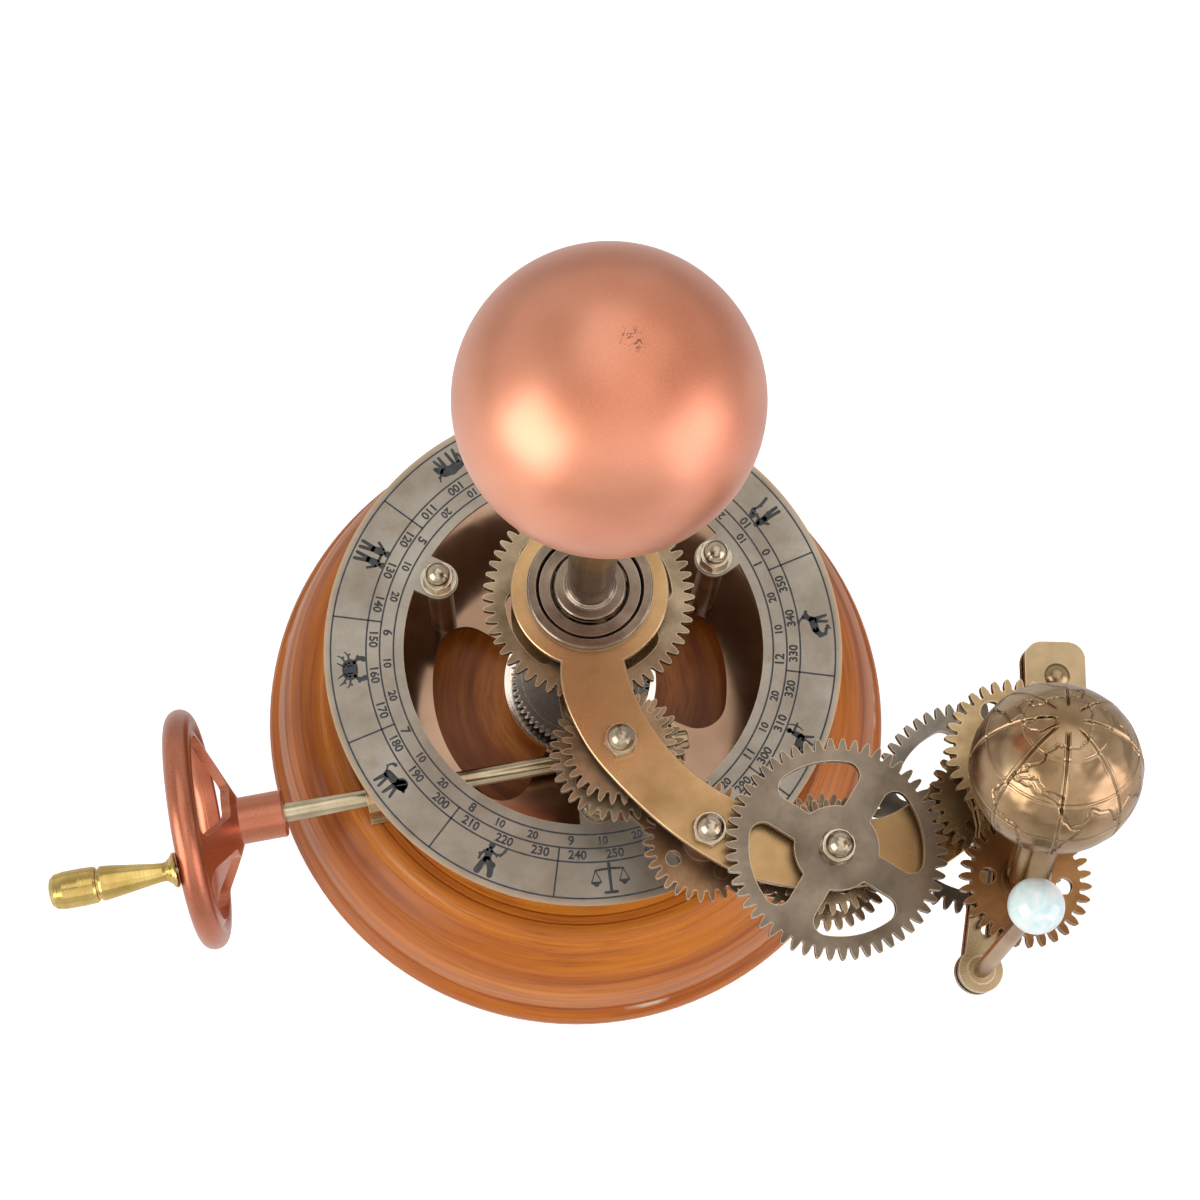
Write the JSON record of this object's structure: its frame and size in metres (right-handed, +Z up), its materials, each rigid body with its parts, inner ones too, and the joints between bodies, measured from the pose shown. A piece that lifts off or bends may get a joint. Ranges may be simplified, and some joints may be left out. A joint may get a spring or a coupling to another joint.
{
  "type": "orrery",
  "caption": "Hand-cranked orrery: wooden base, engraved dial ring, copper Sun on a column and a geared arm with tilted Earth and Moon.",
  "frame": {"origin": "centre of the underside of the wooden base, on the column's axis", "axes": "+Z up along the column, +X along the crank shaft away from the hand wheel, +Y towards the back"},
  "size_m": [0.3453, 0.2765, 0.4085],
  "materials": {
    "turned_wood": "oiled, turned",
    "mirror_bronze": "polished",
    "dark_posts": "dark bronze",
    "bright_steel": "bright",
    "engraved_pewter": "silvered and engraved",
    "column_steel": "polished",
    "seat_brass": "polished",
    "dark_steel": "dark",
    "shaft_brass": "polished",
    "wheel_copper_paint": "satin",
    "arm_brass": "brushed",
    "wheel_brass": "brushed",
    "dark_wheel": "aged",
    "pale_brass": "polished",
    "brown_bronze": "aged",
    "sun_stem_brass": "brushed",
    "sun_copper": "satin copper",
    "earth_bronze": "embossed",
    "moon_pearl": "pearly",
    "moon_rod_steel": "polished"
  },
  "bodies": {
    "base": {"wood_base": "turned_wood", "deck_plate": "mirror_bronze", "ring_posts": "dark_posts", "ring_washers": "bright_steel", "ring_acorn_nuts": "bright_steel", "zodiac_ring": "engraved_pewter", "column_rod": "column_steel", "wheel_seat": "seat_brass", "bearing_outer": "shaft_brass", "bearing_inner": "shaft_brass", "sun_wheel": "wheel_brass", "hub_inner_race": "bright_steel", "sun_stem": "sun_stem_brass", "sun_ball": "sun_copper"},
    "arm": {"worm_wheel": "dark_steel", "drive_sleeve": "column_steel", "arm_lower_plate": "arm_brass", "arm_upper_plate": "arm_brass", "arm_bolts": "bright_steel", "arm_end_bolt": "bright_steel", "arm_acorn_nuts": "bright_steel", "hub_outer_race": "bright_steel", "hub_shield": "bright_steel", "hub_balls": "bright_steel"},
    "first_gear": {"first_wheel": "wheel_brass", "first_pinion": "wheel_brass"},
    "idler": {"idler_wheel": "wheel_brass"},
    "third_gear": {"third_wheel": "wheel_brass", "third_pinion": "wheel_brass", "top_wheel": "dark_wheel"},
    "carriage": {"carriage_wheel": "dark_wheel", "carriage_arbor": "pale_brass", "carriage_upper_plate": "pale_brass", "carriage_lower_plate": "pale_brass", "carriage_pillar": "pale_brass", "moon_bush": "pale_brass", "earth_post": "earth_bronze"},
    "fourth_gear": {"fourth_wheel": "pale_brass", "fourth_pinion": "pale_brass"},
    "fifth_gear": {"fifth_arbor": "pale_brass", "fifth_wheel": "pale_brass"},
    "sixth_gear": {"sixth_wheel": "brown_bronze"},
    "earth": {"earth_axle": "earth_bronze", "earth_globe": "earth_bronze"},
    "moon": {"moon_rod": "moon_rod_steel", "moon_ball": "moon_pearl"},
    "crank": {"worm": "dark_steel", "drive_shaft": "shaft_brass", "hand_wheel": "wheel_copper_paint", "grip_pin": "bright_steel"},
    "grip": {"crank_grip": "shaft_brass"}
  },
  "joints": [
    {"name": "arm_turn", "type": "hinge", "parent": "base", "child": "arm", "pos_m": [0, 0, 0.165], "axis": [0, 0, 1], "continuous": true},
    {"name": "first_spin", "type": "hinge", "parent": "arm", "child": "first_gear", "pos_m": [0.00018, -0.05125, 0.18], "axis": [0, 0, 1], "continuous": true},
    {"name": "idler_spin", "type": "hinge", "parent": "arm", "child": "idler", "pos_m": [0.02226, -0.0846, 0.174], "axis": [0, 0, 1], "continuous": true},
    {"name": "third_spin", "type": "hinge", "parent": "arm", "child": "third_gear", "pos_m": [0.05972, -0.09861, 0.185], "axis": [0, 0, 1], "continuous": true},
    {"name": "carriage_turn", "type": "hinge", "parent": "arm", "child": "carriage", "pos_m": [0.11053, -0.09192, 0.193], "axis": [0, 0, 1], "continuous": true},
    {"name": "fourth_spin", "type": "hinge", "parent": "carriage", "child": "fourth_gear", "pos_m": [0.11053, -0.09192, 0.202], "axis": [0, 0, 1], "continuous": true},
    {"name": "fifth_spin", "type": "hinge", "parent": "carriage", "child": "fifth_gear", "pos_m": [0.11669, -0.08281, 0.22], "axis": [0, 0, 1], "continuous": true},
    {"name": "sixth_spin", "type": "hinge", "parent": "carriage", "child": "sixth_gear", "pos_m": [0.1096, -0.12217, 0.226], "axis": [0, 0, 1], "continuous": true},
    {"name": "earth_spin", "type": "hinge", "parent": "carriage", "child": "earth", "pos_m": [0.1096, -0.12217, 0.2291], "axis": [0.0313, 0.3975, 0.9171], "continuous": true},
    {"name": "moon_swivel", "type": "hinge", "parent": "carriage", "child": "moon", "pos_m": [0.0909, -0.1453, 0.22], "axis": [0, 0, 1], "continuous": true},
    {"name": "crank_turn", "type": "hinge", "parent": "base", "child": "crank", "pos_m": [-0.08382, -0.0315, 0.075], "axis": [1, 0, 0], "continuous": true},
    {"name": "grip_spin", "type": "hinge", "parent": "crank", "child": "grip", "pos_m": [-0.175, -0.0512, 0.10981], "axis": [1, 0, 0], "continuous": true}
  ],
  "couplings": [
    {"joint": "first_spin", "follows": "arm_turn", "ratio": 1.9286},
    {"joint": "idler_spin", "follows": "arm_turn", "ratio": -2.1857},
    {"joint": "third_spin", "follows": "arm_turn", "ratio": 1.9286},
    {"joint": "carriage_turn", "follows": "arm_turn", "ratio": -1},
    {"joint": "fourth_spin", "follows": "arm_turn", "ratio": -2.7194},
    {"joint": "fifth_spin", "follows": "arm_turn", "ratio": 2.7194},
    {"joint": "sixth_spin", "follows": "arm_turn", "ratio": -3.082},
    {"joint": "earth_spin", "follows": "arm_turn", "ratio": -3.082},
    {"joint": "crank_turn", "follows": "arm_turn", "ratio": -16}
  ]
}
